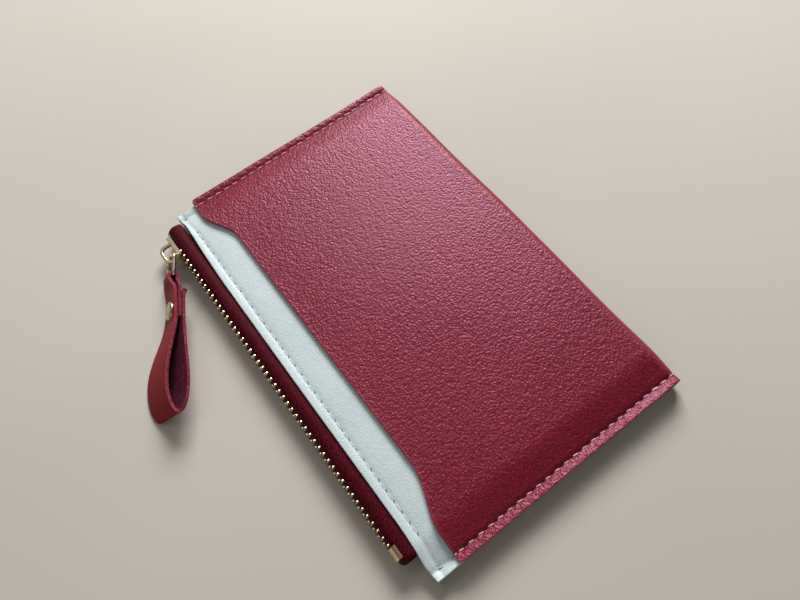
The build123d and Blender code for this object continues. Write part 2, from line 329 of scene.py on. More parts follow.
def red_leather():
    """Fine pebbled grain leather, with painted shade in the needle holes where the stitches go in."""
    n = Nodes("red_leather")
    where = wobbled(n, 0.0009, 900.0)
    pebbles = n.cells(1500.0, vector=where)
    domes = n.cells(1500.0, "F1", vector=where)
    creases = n.noise(700.0, 3.0, 0.55, 0.2)
    broad = n.noise(38.0, 3.0, 0.5)
    specks = n.noise(2300.0, 2.0, 0.6)
    tone = n.mix(n.greys(creases, (0.35, 0), (0.68, 1)), (0.160, 0.0070, 0.0165), (0.225, 0.0105, 0.0240))
    tone = n.mix(n.greys(broad, (0.35, 0), (0.7, 0.6)), tone, (0.240, 0.0125, 0.0265))
    # painted shade: the creases between the pebbles darkened towards a near-black red
    valley = n.greys(pebbles, (0.0, 1), (0.2, 0))
    tone = n.mix(n.math("MULTIPLY", valley, 0.8), tone, (0.085, 0.0025, 0.008))
    # painted sheen: the sewn margins lifted a little towards light pink
    tone = n.mix(n.math("MULTIPLY", n.attr("margin_sheen"), 0.08), tone, (0.27, 0.026, 0.046))
    tone = n.mix(n.attr("worn"), tone, (0.40, 0.085, 0.105))
    holes = needle_hole_shade(n, "y", SEAM_X, SEAM_Y0, SIDE_PITCH, 0.55, 0.26)
    # painted shade: the side seam's needle holes darkened nearly to black
    tone = n.mix(n.math("MULTIPLY", holes, 0.85), tone, (0.020, 0.001, 0.003))
    n.set("Base Color", tone)
    n.set("Roughness", n.greys(specks, (0.3, 0.38), (0.7, 0.43)))
    n.set("Specular IOR Level", 0.57)
    n.set("Specular Tint", (1.0, 0.48, 0.68))
    first = n.bump(creases, 0.00015, 0.8)
    n.set("Normal", n.bump(n.math("SUBTRACT", 1.0, domes), 0.00014, 0.9, first))
    return n.mat


def red_edge():
    """The cut edge of the red leather: darker, with pale fibres."""
    n = Nodes("red_edge")
    fibres = n.noise(2600.0, 4.0, 0.7)
    n.set("Base Color", n.ramp(fibres, [(0.3, (0.10, 0.012, 0.02)), (0.6, (0.20, 0.03, 0.045)),
                                        (0.8, (0.34, 0.10, 0.12))]))
    n.set("Roughness", 0.8)
    n.set("Normal", n.bump(fibres, 0.0001, 0.8))
    return n.mat


def leather_back(name, dark, light):
    """The fibrous back of a leather sheet."""
    n = Nodes(name)
    fibres = n.noise(1900.0, 5.0, 0.75, 0.8)
    broad = n.noise(160.0, 3.0, 0.6)
    tone = n.mix(n.greys(fibres, (0.3, 0), (0.72, 1)), dark, light)
    tone = n.mix(n.math("MULTIPLY", broad, 0.35), tone, tuple(0.55 * c for c in dark))
    n.set("Base Color", tone)
    n.set("Roughness", 0.93)
    n.set("Specular IOR Level", 0.2)
    n.set("Sheen Weight", 0.35)
    n.set("Sheen Roughness", 0.6)
    n.set("Normal", n.bump(fibres, 0.00022, 0.8))
    return n.mat


def pale_leather():
    """Smooth pale leather with a fine shallow grain."""
    n = Nodes("pale_leather")
    where = wobbled(n, 0.0008, 800.0)
    pebbles = n.cells(1500.0, vector=where)
    creases = n.noise(330.0, 4.0, 0.6, 0.5)
    broad = n.noise(45.0, 3.0, 0.5)
    tone = n.mix(n.greys(broad, (0.3, 0), (0.75, 1)), (0.515, 0.58, 0.585), (0.57, 0.635, 0.635))
    folds = n.math("MULTIPLY", n.greys(creases, (0.3, 1), (0.5, 0)), 0.3)
    tone = n.mix(folds, tone, (0.455, 0.515, 0.515))
    tone = n.mix(n.attr("worn"), tone, (0.47, 0.45, 0.40))
    zip_hole_shade = needle_hole_shade(n, "x", ZIP_SEAM_Y, ZIP_SEAM_X0, ZIP_PITCH, 0.52, 0.19, 0.18)
    side_hole_shade = needle_hole_shade(n, "y", SEAM_X, TAB_SEAM_Y, TAB_SEAM_PITCH, 0.24, 0.18)
    split = n.add("ShaderNodeSeparateXYZ")
    n.link(n.coords(), split.inputs[0])
    lo, hi = (x * MM for x in ZIP_HOLES_X)
    from_mid = n.math("ABSOLUTE", n.math("SUBTRACT", split.outputs[0], (lo + hi) / 2))
    inside = n.math("LESS_THAN", from_mid, (hi - lo) / 2)
    holes = n.math("MAXIMUM", n.math("MULTIPLY", zip_hole_shade, inside), side_hole_shade)
    # painted shade: the needle holes of the zip seam and of the side seam on the pale tabs, darkened to dark
    # grey
    tone = n.mix(n.math("MULTIPLY", holes, 0.85), tone, (0.075, 0.08, 0.085))
    n.set("Base Color", tone)
    n.set("Roughness", n.greys(creases, (0.3, 0.40), (0.7, 0.50)))
    n.set("Specular IOR Level", 0.5)
    rise = n.greys(pebbles, (0.0, 0), (0.25, 0.85), (0.6, 1))
    first = n.bump(creases, 0.0002, 0.4)
    n.set("Normal", n.bump(rise, 0.00007, 0.5, first))
    return n.mat


def pale_edge():
    """The cut edge of the pale leather, beige where the core shows."""
    n = Nodes("pale_edge")
    fibres = n.noise(2400.0, 4.0, 0.7)
    n.set("Base Color", n.ramp(fibres, [(0.3, (0.33, 0.29, 0.23)), (0.6, (0.55, 0.51, 0.44)),
                                        (0.85, (0.68, 0.67, 0.61))]))
    n.set("Roughness", 0.85)
    n.set("Normal", n.bump(fibres, 0.0001, 0.8))
    return n.mat


def woven_tape():
    """Burgundy twill tape: slanted ribs across the run, with a painted highlight on the raised threads and
    painted shade in the hollows, over random mottling.
    """
    n = Nodes("woven_tape")
    weave = n.attr("weave", "Vector")
    split = n.add("ShaderNodeSeparateXYZ")
    n.link(weave, split.inputs[0])
    x, v = split.outputs[0], split.outputs[1]
    slant = n.math("ADD", x, n.math("MULTIPLY", v, -1.2))
    ribs = n.math("SINE", n.math("MULTIPLY", slant, 2 * math.pi / 0.95))
    yarn = n.math("SINE", n.math("MULTIPLY", v, 2 * math.pi / 0.36))
    cross = n.math("SINE", n.math("MULTIPLY", x, 2 * math.pi / 0.42))
    threads = n.math("MULTIPLY", yarn, cross)
    cloth = n.math("ADD", n.math("MULTIPLY", ribs, 0.5), n.math("MULTIPLY", threads, 0.5))
    height = n.math("MULTIPLY_ADD", cloth, 0.5, 0.5)
    fuzz = n.noise(2600.0, 3.0, 0.7)
    broad = n.noise(120.0, 2.0, 0.5)
    both = n.math("MULTIPLY_ADD", fuzz, 0.75, n.math("MULTIPLY", height, 0.26))
    # the ramp paints the raised weave light, a painted highlight, and the hollows near black, painted shade
    tone = n.ramp(both, [(0.33, (0.008, 0.0004, 0.001)), (0.52, (0.034, 0.0013, 0.0032)),
                         (0.72, (0.20, 0.013, 0.027))])
    tone = n.mix(n.math("MULTIPLY", broad, 0.3), tone, (0.05, 0.002, 0.008))
    n.set("Base Color", tone)
    n.set("Roughness", 0.6)
    n.set("Specular IOR Level", 0.14)
    n.set("Specular Tint", (1.0, 0.22, 0.38))
    n.set("Normal", n.bump(both, 0.00014, 0.9))
    return n.mat


def lining_cloth():
    """Plain thin grey-brown lining."""
    n = Nodes("lining_cloth")
    split = n.add("ShaderNodeSeparateXYZ")
    n.link(n.coords(), split.inputs[0])
    thread_gap = 0.35 * MM
    warp = n.math("SINE", n.math("MULTIPLY", split.outputs[0], 2 * math.pi / thread_gap))
    weft = n.math("SINE", n.math("MULTIPLY", split.outputs[1], 2 * math.pi / thread_gap))
    cloth = n.math("MULTIPLY_ADD", n.math("MULTIPLY", warp, weft), 0.5, 0.5)
    tone = n.ramp(cloth, [(0.0, (0.075, 0.062, 0.058)), (1.0, (0.15, 0.13, 0.12))])
    tone = n.mix(n.math("MULTIPLY", n.noise(90.0), 0.3), tone, (0.09, 0.075, 0.07))
    n.set("Base Color", tone)
    n.set("Roughness", 0.75)
    n.set("Sheen Weight", 0.3)
    n.set("Normal", n.bump(cloth, 0.00005, 0.5))
    return n.mat


def gold(name, base, shade, rough, grime):
    """Pale gold plating with a brushed haze, small scratches, random grime blots, and painted shade on the
    low parts of the teeth.
    """
    n = Nodes(name)
    scratch = n.noise(900.0, 3.0, 0.7, 0.4, vector=stretched(n, 6.0, 1.0, 1.0))
    blot = n.noise(260.0, 3.0, 0.6)
    dirt = n.greys(blot, (0.45, 0), (0.8, 1))
    tone = n.mix(n.math("MULTIPLY", dirt, grime), base, shade)
    # painted shade: the low parts of the teeth, by the painted_shade attribute, darkened towards a dark brown
    tone = n.mix(n.math("MULTIPLY", n.attr("painted_shade"), 0.85), tone, (0.17, 0.10, 0.055))
    n.set("Base Color", tone)
    n.set("Metallic", 1.0)
    haze = n.math("MULTIPLY_ADD", scratch, 0.6, n.math("MULTIPLY", blot, 0.4))
    n.set("Roughness", n.greys(haze, (0.3, rough[0]), (0.75, rough[1])))
    n.set("Normal", n.bump(scratch, 0.000002, 0.25))
    return n.mat


def thread(name, base, shade):
    """Twisted sewing thread with fine fibres."""
    n = Nodes(name)
    fibres = n.noise(4200.0, 3.0, 0.6)
    broad = n.noise(420.0, 2.0, 0.5)
    tone = n.mix(n.greys(fibres, (0.3, 1), (0.7, 0)), base, shade)
    tone = n.mix(n.math("MULTIPLY", broad, 0.35), tone, shade)
    n.set("Base Color", tone)
    n.set("Roughness", 0.72)
    n.set("Sheen Weight", 0.3)
    n.set("Normal", n.bump(fibres, 0.00006, 0.7))
    return n.mat


def strap_face():
    """Smooth finished side of the pull strap."""
    n = Nodes("strap_face")
    where = wobbled(n, 0.0006, 900.0)
    pebbles = n.cells(1900.0, vector=where)
    creases = n.noise(300.0, 4.0, 0.6, 0.5)
    tone = n.mix(n.greys(creases, (0.3, 0), (0.7, 1)), (0.178, 0.0082, 0.0100), (0.218, 0.0115, 0.0140))
    tone = n.mix(n.attr("worn"), tone, (0.36, 0.075, 0.095))
    n.set("Base Color", tone)
    n.set("Roughness", n.greys(creases, (0.3, 0.44), (0.7, 0.56)))
    n.set("Specular IOR Level", 0.12)
    n.set("Specular Tint", (1.0, 0.36, 0.40))
    first = n.bump(creases, 0.00015, 0.35)
    n.set("Normal", n.bump(pebbles, 0.00004, 0.4, first))
    return n.mat


def strap_raw(name, dark, mid, light):
    """Raw fibrous leather, for the strap's cut edges and its suede inside."""
    n = Nodes(name)
    fibres = n.noise(2100.0, 5.0, 0.75, 0.6)
    tufts = n.noise(700.0, 4.0, 0.7, 1.0)
    both = n.math("MULTIPLY_ADD", fibres, 0.55, n.math("MULTIPLY", tufts, 0.45))
    n.set("Base Color", n.ramp(both, [(0.34, dark), (0.52, mid), (0.68, light)]))
    n.set("Roughness", 0.95)
    n.set("Specular IOR Level", 0.15)
    n.set("Specular Tint", (1.0, 0.4, 0.5))
    n.set("Normal", n.bump(both, 0.0003, 0.9))
    return n.mat


RED = red_leather()
RED_EDGE = red_edge()
RED_BACK = leather_back("red_back", (0.11, 0.035, 0.04), (0.24, 0.10, 0.105))
PALE = pale_leather()
PALE_EDGE = pale_edge()
PALE_BACK = leather_back("pale_back", (0.42, 0.40, 0.36), (0.62, 0.60, 0.55))
TAPE = woven_tape()
LINING = lining_cloth()
GOLD = gold("slider_gold", (0.86, 0.70, 0.49), (0.55, 0.40, 0.24), (0.26, 0.34), 0.25)
TOOTH_GOLD = gold("tooth_gold", (0.84, 0.63, 0.36), (0.46, 0.28, 0.12), (0.22, 0.34), 0.4)
RING_GOLD = gold("ring_gold", (0.80, 0.68, 0.52), (0.45, 0.36, 0.25), (0.14, 0.22), 0.2)
RIVET_GOLD = gold("rivet_gold", (0.50, 0.40, 0.24), (0.26, 0.19, 0.10), (0.24, 0.36), 0.5)
PINK_THREAD = thread("pink_thread", (0.74, 0.52, 0.50), (0.45, 0.20, 0.21))
WHITE_THREAD = thread("white_thread", (0.70, 0.73, 0.71), (0.44, 0.46, 0.46))
STRAP_FACE = strap_face()
STRAP_EDGE = strap_raw("strap_edge", (0.10, 0.009, 0.018), (0.215, 0.030, 0.050), (0.40, 0.12, 0.15))
STRAP_SUEDE = strap_raw("strap_suede", (0.035, 0.004, 0.010), (0.085, 0.014, 0.028), (0.22, 0.06, 0.09))


def dress(ob, mats):
    """Give a piece its materials."""
    for m in mats:
        ob.data.materials.append(m)
    return ob


# =====================================================================
# the shape of the pouch
# =====================================================================

def ripple(x, y, seed, length):
    """Slow waves in the leather, between about -1 and 1."""
    a = np.sin(2 * np.pi * (x / length + 0.37 * y / length) + seed)
    b = np.sin(2 * np.pi * (0.6 * x / length - 0.9 * y / length) + 1.7 * seed)
    c = np.sin(2 * np.pi * (1.9 * x / length + 1.3 * y / length) + 2.9 * seed)
    return (a + b + 0.5 * c) / 2.5


def top_height(x, y):
    """Height of the red front's outer face, and of the same surface carried on over the pale panel."""
    s = HALF_W - np.abs(x)
    rise = smoothstep((s - SEAM_IN) / 8.5) ** 0.8
    crown = np.clip(1 - (x / 62.0) ** 2, 0, 1) * np.clip(1 - ((y - 2) / 46.0) ** 2, 0, 1)
    middle = FULL_Z + CROWN * crown + 0.10 * ripple(x, y, 0.8, 47.0) * crown
    low = MARGIN_Z + 0.06 * ripple(x, y, 2.2, 23.0)
    z = low + (middle - low) * rise
    # the seam pulls a groove into the margin, deeper at each stitch, and the rim curls up past it
    valley = np.exp(-((s - SEAM_IN) / 0.75) ** 2)
    pucker = np.cos(2 * np.pi * (y + 37.5) / SIDE_PITCH)
    z = z - 0.42 * valley * (1.0 + 0.25 * pucker)
    lip = np.clip((1.9 - s) / 1.9, 0, 1)
    z = z + np.where(x > 0, 0.50, 0.16) * lip ** 1.2
    z = z + 0.05 * pucker * lip * (1 - lip) * 4
    return z


def mouth_line(x):
    """Where the cover's mouth edge runs, with its scoop and rounded tab corners."""
    def step(a, b):
        return 0.5 - 0.5 * np.cos(np.pi * np.clip((x - a) / (b - a), 0, 1))
    up = step(*SCOOP_LEFT) * (1 - step(*SCOOP_RIGHT))
    y = TAB_Y + (SCOOP_Y - TAB_Y) * up
    s = np.clip(HALF_W - np.abs(x), 0, 1.2)
    return y + 1.2 - np.sqrt(np.clip(1.44 - (1.2 - s) ** 2, 0, None))


def stitch_dents(s, y, y0, pitch, radius):
    """How much a point lies in the dent round a needle hole of a seam that runs at s = 0."""
    off = (y - y0) / pitch
    near = (off - np.round(off)) * pitch
    return np.clip(1.25 - np.sqrt(s ** 2 + near ** 2) / radius, 0, 1)


def edge_round(d, r):
    """How far a face drops at distance d from a cut edge with corner radius r."""
    d = np.clip(d, 0, r)
    return r - np.sqrt(np.clip(r * r - (r - d) ** 2, 0, None))


NEAR_EDGE = [0, 0.07, 0.18, 0.35, 0.6, 0.9, 1.2, 1.5, 1.75, 1.95, 2.15, 2.35, 2.55, 2.75, 2.95,
             3.2, 3.55, 4.0, 4.6, 5.4, 6.4, 7.6, 9.0, 10.6]


def side_slip(x, y):
    """The cover's left edge stands a little proud of the pale panel, most at its mouth corner."""
    left = np.clip((-x - 45) / 20, 0, 1)
    return -left * (0.55 + 0.75 * np.clip((20 - y) / 54, 0, 1))


def outer_cover():
    """The red sheet, row by row from the front mouth round the fold to the back mouth."""
    xs = graded(-HALF_W, HALF_W, NEAR_EDGE, 1.15)
    mouth = mouth_line(xs)
    steps_front = np.concatenate([EDGE_STEPS, np.linspace(0.6, 100, 190)]) / 100
    steps_back = np.concatenate([EDGE_STEPS, np.linspace(0.6, 100, 110)]) / 100
    arc = np.linspace(0, math.pi, 15)[1:-1]
    total = top_height(xs, np.full_like(xs, FOLD_Y - 4))
    radius = total / 2
    fold_start = FOLD_Y - radius + 0.25 * ripple(xs, xs * 0, 1.1, 60.0)
    outer, inner, margin_sheen, worn = [], [], [], []
    for k, x in enumerate(xs):
        s = HALF_W - abs(x)
        y = mouth[k] + (fold_start[k] - mouth[k]) * steps_front
        z = top_height(np.full_like(y, x), y)
        settle = smoothstep((y - (fold_start[k] - 9)) / 9)
        z = z + (total[k] - z) * settle
        drop = edge_round(y - mouth[k], ROUND) + edge_round(np.full_like(y, s), ROUND)
        lift = 0.10 * np.exp(-(y - mouth[k]) / 2.5)
        dent = stitch_dents(s - SEAM_IN, y, SEAM_Y0, SIDE_PITCH, 0.42)
        slip = side_slip(np.full_like(y, x), y)
        front = np.stack([x + slip, y, z + lift - drop - 0.25 * dent], 1)
        under = np.stack([x + slip, y, z + lift - COVER_T + drop], 1)
        ys = fold_start[k] + radius[k] * np.sin(arc)
        edge = edge_round(np.full_like(arc, s), ROUND)
        turn = np.stack([np.full_like(ys, x) + slip[-1], ys - edge * np.sin(arc),
                         radius[k] + (radius[k] - edge) * np.cos(arc)], 1)
        thin = radius[k] - COVER_T + edge
        turn_in = np.stack([np.full_like(ys, x) + slip[-1], fold_start[k] + thin * np.sin(arc),
                            radius[k] + thin * np.cos(arc)], 1)
        yb = (mouth[k] + (fold_start[k] - mouth[k]) * steps_back)[::-1]
        dent_b = stitch_dents(s - SEAM_IN, yb, SEAM_Y0, SIDE_PITCH, 0.42)
        drop_b = edge_round(yb - mouth[k], ROUND) + edge_round(np.full_like(yb, s), ROUND)
        slip_b = side_slip(np.full_like(yb, x), yb)
        back = np.stack([x + slip_b, yb, drop_b + 0.25 * dent_b], 1)
        back_in = np.stack([x + slip_b, yb, COVER_T - drop_b], 1)
        outer.append(np.concatenate([front, turn, back]))
        inner.append(np.concatenate([under, turn_in, back_in]))
        # painted sheen on the margin past the side stitches, full on the right side and about a third as
        # strong on the left
        strip = float(smoothstep(np.array((SEAM_IN - s) / 0.8))) * (1.0 if x > 0 else 0.35)
        margin_sheen.append(np.full(len(y) + len(arc) + len(yb), strip))
        rub = 0.55 * np.exp(-(y - mouth[k]) / 0.35) + 0.25 * np.exp(-s / 0.3)
        bend = 0.16 * (0.6 + 0.4 * np.sin(arc))
        rub_b = 0.55 * np.exp(-(yb - mouth[k]) / 0.35) + 0.25 * np.exp(-s / 0.3)
        worn.append(np.concatenate([rub, bend, rub_b]))
    outer, inner = np.array(outer), np.array(inner)
    ob = sheet("outer_cover_leather", outer, inner)
    zero = np.zeros(outer.shape[0] * outer.shape[1])
    attribute(ob, "margin_sheen", np.concatenate([np.array(margin_sheen).ravel(), zero]))
    attribute(ob, "worn", np.concatenate([np.clip(np.array(worn).ravel(), 0, 1), zero]))
    return ob


def pale_edge_line(x):
    """The zip-side edge of the pale panel: straight in the middle, wandering at its ends."""
    px = [-65.1, -63.6, -62.2, -60.2, -56.0, -47.0, -36.0, 0.0, 50.0, 56.0, 60.0, 62.0, 65.1]
    py = [-39.9, -40.0, -39.5, -39.15, -39.3, -39.75, -40.05, -40.1, -40.0, -40.25, -40.7, -40.65, -40.25]
    fine = np.linspace(-1.5, 1.5, 7)
    return np.mean([np.interp(np.clip(x + f, -65.1, 65.1), px, py) for f in fine], axis=0)


def pale_panel(name, front):
    """The pale sheet of the front or the back, row by row from its zip-side edge."""
    inset = 0.05
    near_side = EDGE_STEPS + [0.6, 0.9, 1.2, 1.5, 1.8, 2.05, 2.3, 2.55, 2.8]
    xs = graded(-HALF_W + inset, HALF_W - inset, near_side, 0.45)
    low = pale_edge_line(xs)
    near = np.array([0, 0.06, 0.15, 0.3, 0.55, 0.9, 1.3, 1.7, 2.0, 2.25, 2.45, 2.65, 2.9, 3.3, 3.9, 4.6, 5.5])
    rows = np.concatenate([near, np.linspace(6.6, 16.0, 12), np.linspace(20, 74.5, 14)])
    top, under, worn = [], [], []
    for k, x in enumerate(xs):
        s = HALF_W - abs(x)
        y = low[k] + rows * (35.0 - low[k]) / rows[-1]
        skin = top_height(np.full_like(y, x), np.maximum(y, -33.0)) - COVER_T - SHEET_GAP
        dent = stitch_dents(y - ZIP_SEAM_Y, np.full_like(y, x), ZIP_SEAM_X0, ZIP_PITCH, 0.36)
        dent = dent * (abs(x) < 57.5)
        side_dent = stitch_dents(s - SEAM_IN, y, SEAM_Y0, SIDE_PITCH, 0.34) * (y < -33)
        dent = np.maximum(dent, side_dent)
        drop = edge_round(y - low[k], ROUND) + edge_round(np.full_like(y, s - inset), ROUND)
        seam_y = ZIP_SEAM_Y - 0.75 * float(smoothstep(np.array((abs(x) - 54.0) / 8.0)))
        curl = np.clip((seam_y - y) / 2.6, 0, 1.2)
        groove = np.exp(-((y - seam_y) / 0.7) ** 2)
        channel = 0.20 * groove - 0.17 * curl - 0.16 * smoothstep((y - seam_y) / 4.5) + 0.16
        wave = 0.07 * ripple(np.full_like(y, x), y, 1.9, 19.0) * np.exp(-(y - low[k]) / 8)
        if front:
            t = skin - channel + wave - drop - 0.12 * dent
            b = skin - PANEL_T + drop + 0.17 * curl
        else:
            t = PANEL_BACK_Z + drop + 0.12 * dent + 0.12 * groove
            b = PANEL_BACK_Z + PANEL_T - drop
        top.append(np.stack([np.full_like(y, x), y, t], 1))
        under.append(np.stack([np.full_like(y, x), y, b], 1))
        worn.append(np.clip(0.5 * np.exp(-(y - low[k]) / 0.3) + 0.3 * np.exp(-s / 0.25), 0, 1))
    top, under = np.array(top), np.array(under)
    if not front:
        top, under = top[::-1], under[::-1]
        worn = worn[::-1]
    ob = sheet(name, top, under)
    zero = np.zeros(top.shape[0] * top.shape[1])
    attribute(ob, "worn", np.concatenate([np.array(worn).ravel(), zero]))
    return ob


def lining():
    """The folded lining, from one tape round the far end to the other."""
    xs = graded(-HALF_W + 0.3, HALF_W - 0.3, [0, 1.0, 2.0, 3.0, 4.5, 6.5, 9.0], 2.2)
    ys = np.linspace(-39.0, 33.4, 40)
    outer, inner = [], []
    for x in xs:
        skin = top_height(np.full_like(ys, x), np.maximum(ys, -33.0)) - COVER_T - PANEL_T - 2 * SHEET_GAP
        s = HALF_W - abs(x)
        share = float(smoothstep(np.array((s - SEAM_IN) / 8.5)))
        near_zip = 0.55 * share * (1 - smoothstep((ys + 33.5) / 4))
        up = skin - near_zip
        down = 2.2 + near_zip
        thick = np.minimum(LINING_T, (up - down) * 0.45)
        end_z = np.linspace(up[-1], down[-1], 6)[1:-1]
        end = np.stack([np.full(4, x), np.full(4, 34.0), end_z], 1)
        mid = (up[-1] + down[-1]) / 2
        end_in = np.stack([np.full(4, x), np.full(4, 34.0 - LINING_T), mid + (end_z - mid) * 0.6], 1)
        column = np.full_like(ys, x)
        outer.append(np.concatenate([np.stack([column, ys, up], 1), end,
                                     np.stack([column, ys, down], 1)[::-1]]))
        inner.append(np.concatenate([np.stack([column, ys, up - thick], 1), end_in,
                                     np.stack([column, ys, down + thick], 1)[::-1]]))
    return sheet("pouch_lining_cloth", np.array(outer), np.array(inner), (0, 0, 0))


# =====================================================================
# the zip
# =====================================================================

TAPE_PATH = [            # the front tape's centre line as (y, z), from its sewn hem to the teeth
    (-33.0, 4.22), (-35.0, 4.22), (-37.0, 4.22), (-39.0, 4.22), (-40.0, 4.22), (-40.32, 4.38), (-40.44, 4.75),
    (-40.54, 5.15), (-40.82, 5.58), (-41.35, 5.92), (-42.1, 6.1), (-42.9, 6.09), (-43.5, 5.94),
    (-43.95, 5.63), (-44.25, 5.2), (-44.5, 4.7), (-44.7, 4.2), (-44.8, 3.78),
]


def resample(points, step):
    """A smooth curve through the points at an even step, with the distance along it."""
    pts = np.asarray(points, float)
    fine = []
    for i in range(len(pts) - 1):
        p0, p1, p2, p3 = pts[max(i - 1, 0)], pts[i], pts[i + 1], pts[min(i + 2, len(pts) - 1)]
        for t in np.linspace(0, 1, 16, endpoint=False):
            fine.append(0.5 * ((2 * p1) + (p2 - p0) * t + (2 * p0 - 5 * p1 + 4 * p2 - p3) * t * t
                               + (3 * p1 - p0 - 3 * p2 + p3) * t ** 3))
    fine.append(pts[-1])
    fine = np.array(fine)
    run = np.concatenate([[0], np.cumsum(np.linalg.norm(np.diff(fine, axis=0), axis=1))])
    want = np.linspace(0, run[-1], int(run[-1] / step) + 1)
    return np.stack([np.interp(want, run, fine[:, 0]), np.interp(want, run, fine[:, 1])], 1), want


def tape_piece(name, front, x0, x1, part):
    """A stretch of tape. part is "hem", sewn under the pale panel, or "roll", which shows."""
    pts, run = resample(TAPE_PATH, 0.2)
    shown = pts[:, 0] < -40.05
    pick = ~shown if part == "hem" else shown
    tangent = np.gradient(pts, axis=0)
    tangent /= np.linalg.norm(tangent, axis=1)[:, None]
    normal = np.stack([tangent[:, 1], -tangent[:, 0]], 1)
    pts, normal, run = pts[pick], normal[pick], run[pick]
    steps = int((x1 - x0) / 0.5)
    xs = x0 + (x1 - x0) * np.arange(steps + 1) / steps
    one, two, weave = [], [], []
    for x in xs:
        ends = min(x - TAPE_X[0], TAPE_X[1] - x)
        c = pts.copy()
        if part == "roll":
            tuck = float(edge_round(np.array(ends), 1.8)) / 1.8
            up = np.clip((c[:, 1] - 4.2) / 1.8, 0, 1)
            c[:, 1] += 0.07 * ripple(np.full(len(c), x), c[:, 0], 3.1, 13.0) * up - 0.9 * tuck * up
            c[:, 0] += 0.9 * tuck * np.clip((-40.9 - c[:, 0]) / 3.0, 0, 1)
        one.append(np.column_stack([np.full(len(c), x), c + normal * TAPE_T / 2]))
        two.append(np.column_stack([np.full(len(c), x), c - normal * TAPE_T / 2]))
        weave.append(np.column_stack([np.full(len(c), x), run, 0 * run]))
    one, two, weave = np.array(one), np.array(two), np.array(weave)
    # past the teeth, at the parked slider, the tape stays clear of the closing line
    lowest = MID_Z + 1.15
    past = smoothstep((-55.3 - xs) / 1.0)[:, None]
    for g in (one, two):
        g[..., 2] += np.clip(lowest - g[..., 2], 0, None) * past
    if not front:
        for g in (one, two):
            g[..., 2] = 2 * MID_Z - g[..., 2]
        one, two, weave = one[::-1], two[::-1], weave[::-1]
    ob = sheet(name, one, two, (0, 0, 0))
    crisp(ob, 50)
    w = weave.reshape(-1, 3)
    vector_attribute(ob, "weave", np.concatenate([w, w + [0.1, 0.1, 0]]))
    return ob


def tooth_mesh():
    """One front tooth about x = 0: a head past the closing line and two legs clenched on the tape."""
    outline = [
        (-45.50, 3.04), (-44.98, 3.00), (-44.20, 3.02), (-43.98, 3.22), (-43.90, 3.6), (-43.86, 4.3),
        (-43.80, 4.9), (-43.88, 5.12), (-44.05, 5.15), (-44.28, 4.62), (-44.45, 4.2), (-44.56, 3.78),
        (-45.02, 3.78), (-44.93, 4.25), (-44.73, 4.8), (-44.47, 5.32), (-44.30, 5.50), (-44.40, 5.54),
        (-44.72, 5.64), (-44.92, 5.56), (-45.05, 5.22), (-45.24, 4.7), (-45.42, 4.2), (-45.54, 3.7),
        (-45.57, 3.2),
    ]
    count = len(outline)
    verts, faces = [], []
    layers = [(-1.0, 0.14), (-0.8, 0.04), (-0.4, 0.0), (0.4, 0.0), (0.8, 0.04), (1.0, 0.14)]
    pts = np.array(outline)
    along = np.roll(pts, -1, 0) - np.roll(pts, 1, 0)
    along /= np.linalg.norm(along, axis=1)[:, None]
    inward = np.stack([-along[:, 1], along[:, 0]], 1)
    slot = (np.arange(count) > 7) & (np.arange(count) < 17)     # the points that grip the tape
    for share, inset in layers:
        shrink = np.where(slot, 0.0, inset)[:, None]
        for y, z in pts + inward * shrink:
            half = 0.40 - 0.11 * float(smoothstep(np.array((z - 3.7) / 0.5)))   # wide head, narrow legs
            verts.append([share * half, y, z])
    for k in range(len(layers) - 1):
        for m in range(count):
            a, b = k * count + m, k * count + (m + 1) % count
            faces.append([a, a + count, b + count, b])
    faces.append(list(range(count)))
    faces.append([(len(layers) - 1) * count + m for m in reversed(range(count))])
    return np.array(verts), faces


def teeth(name, front, lo, hi):
    """The teeth of one row whose middles lie between lo and hi."""
    verts, faces = tooth_mesh()
    if not front:
        verts = verts * [1, 1, -1] + [0, 0, 2 * MID_Z]
        faces = [f[::-1] for f in faces]
    parts = []
    for i in range(TOOTH_COUNT):
        x = TOOTH_X0 + i * PITCH - (0 if front else PITCH / 2)
        if lo <= x < hi:
            jog = 0.015 * math.sin(12.9 * i + (0 if front else 2))
            parts.append((list(verts + [x, 0, jog]), faces))
    v, f = gather(parts)
    ob = put(name, v, f)
    z = np.array(v)[:, 2]
    # painted shade: 0 on the lit tops of the teeth, rising to 1 on their shaded lower parts
    attribute(ob, "painted_shade", smoothstep((5.3 - z) / 0.8) if front else smoothstep((3.6 - z) / 0.3))
    crisp(ob, 35)
    return ob


def crisp(ob, angle):
    """Flat shading across edges sharper than the angle."""
    me = ob.data
    me.update()
    bm = bmesh.new()
    bm.from_mesh(me)
    for e in bm.edges:
        if len(e.link_faces) == 2 and e.calc_face_angle(0) > math.radians(angle):
            e.smooth = False
    bm.to_mesh(me)
    bm.free()


# =====================================================================
# stitches
# =====================================================================

def stitch(a, b, radius, lift, sink, turn=0.9):
    """One sunk-ended two-ply stitch between two needle holes."""
    a, b = np.asarray(a, float), np.asarray(b, float)
    path, radii = [], []
    for t in np.linspace(0, 1, 13):
        arch = math.sin(math.pi * t) ** 0.5
        p = a + (b - a) * t
        p = p + np.array([0, 0, -sink + (sink + lift) * arch])
        path.append(p)
        radii.append(radius * (0.72 + 0.28 * arch))
    return tube(path, radii, 8, turn, 0.16, 0.85)


